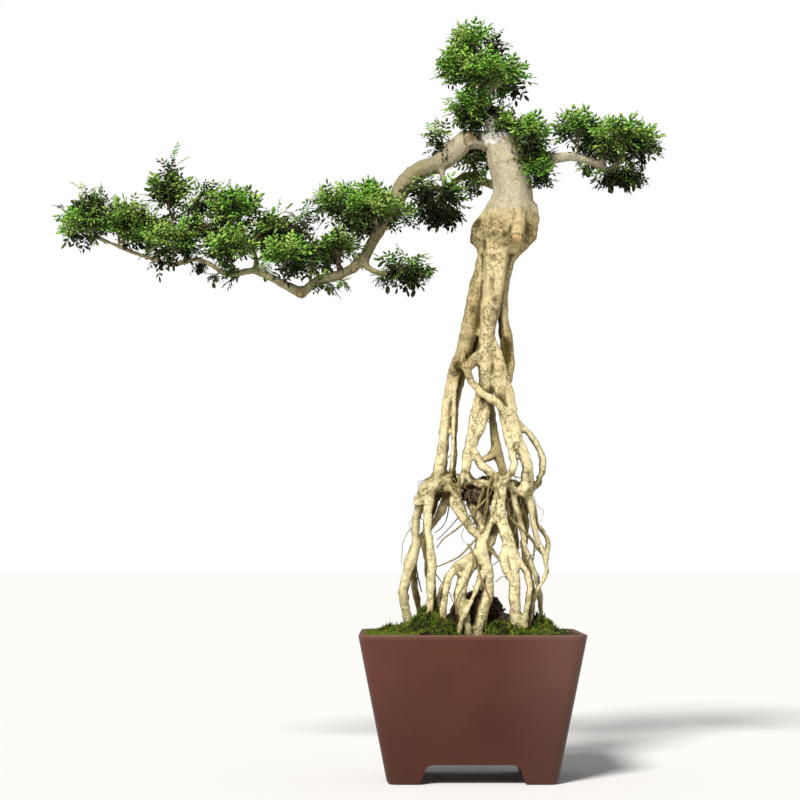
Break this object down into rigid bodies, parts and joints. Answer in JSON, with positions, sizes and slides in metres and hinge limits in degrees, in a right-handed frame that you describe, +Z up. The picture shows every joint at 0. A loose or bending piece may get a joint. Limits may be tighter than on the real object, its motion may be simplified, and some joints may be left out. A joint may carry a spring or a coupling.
{
  "type": "hupeh ash bonsai",
  "caption": "Tall raised-root bonsai tree with one long falling branch, small feathery leaf sprays and mossy soil, in a deep tapered oblong clay pot on corner feet.",
  "frame": {"origin": "on the floor, under the middle of the ground that the whole tree covers; the pot's own middle is 176 mm to +X of it", "axes": "+Z up, front of the pot faces -Y, the long falling branch reaches to -X"},
  "size_m": [0.9697, 0.2614, 1.2299],
  "materials": {
    "clay": "satin unglazed purple-brown clay",
    "screen": "matt black moulded mesh",
    "grit": "coarse pumice and clay granules",
    "soil": "damp dark granular soil",
    "peat": "crumbly dark peat with root scraps",
    "moss": "low cushion moss",
    "bark": "smooth cream bark, speckled on the roots",
    "leaf": "small half-glossy leaflets on thin twigs"
  },
  "bodies": {
    "root": {"pot": "clay", "drain_screen_left": "screen", "drain_screen_right": "screen", "drainage_grit": "grit", "soil": "soil", "peat_mound": "peat", "peat_clod": "peat", "moss_left": "moss", "moss_right": "moss", "trunk_and_roots": "bark", "spray_crown_top": "leaf", "spray_crown_left": "leaf", "spray_crown_right": "leaf", "spray_crown_front": "leaf", "spray_crown_back": "leaf", "spray_crown_low": "leaf", "spray_shoulder": "leaf", "spray_stem_right": "leaf", "spray_right_inner": "leaf", "spray_right_outer": "leaf", "spray_right_back": "leaf", "spray_right_front": "leaf", "spray_right_hanging": "leaf", "spray_behind_trunk": "leaf", "spray_under_arm": "leaf", "spray_under_arm_back": "leaf", "spray_fall_high": "leaf", "spray_fall_high_left": "leaf", "spray_fall_front": "leaf", "spray_fall_back": "leaf", "spray_fall_low": "leaf", "spray_reach_inner": "leaf", "spray_reach_back": "leaf", "spray_reach_middle": "leaf", "spray_reach_high": "leaf", "spray_rise_high": "leaf", "spray_rise_back": "leaf", "spray_rise_low": "leaf", "spray_tall_shoot": "leaf", "spray_outer_middle": "leaf", "spray_outer_back": "leaf", "spray_end_inner": "leaf", "spray_end_tip": "leaf"}
  },
  "joints": []
}
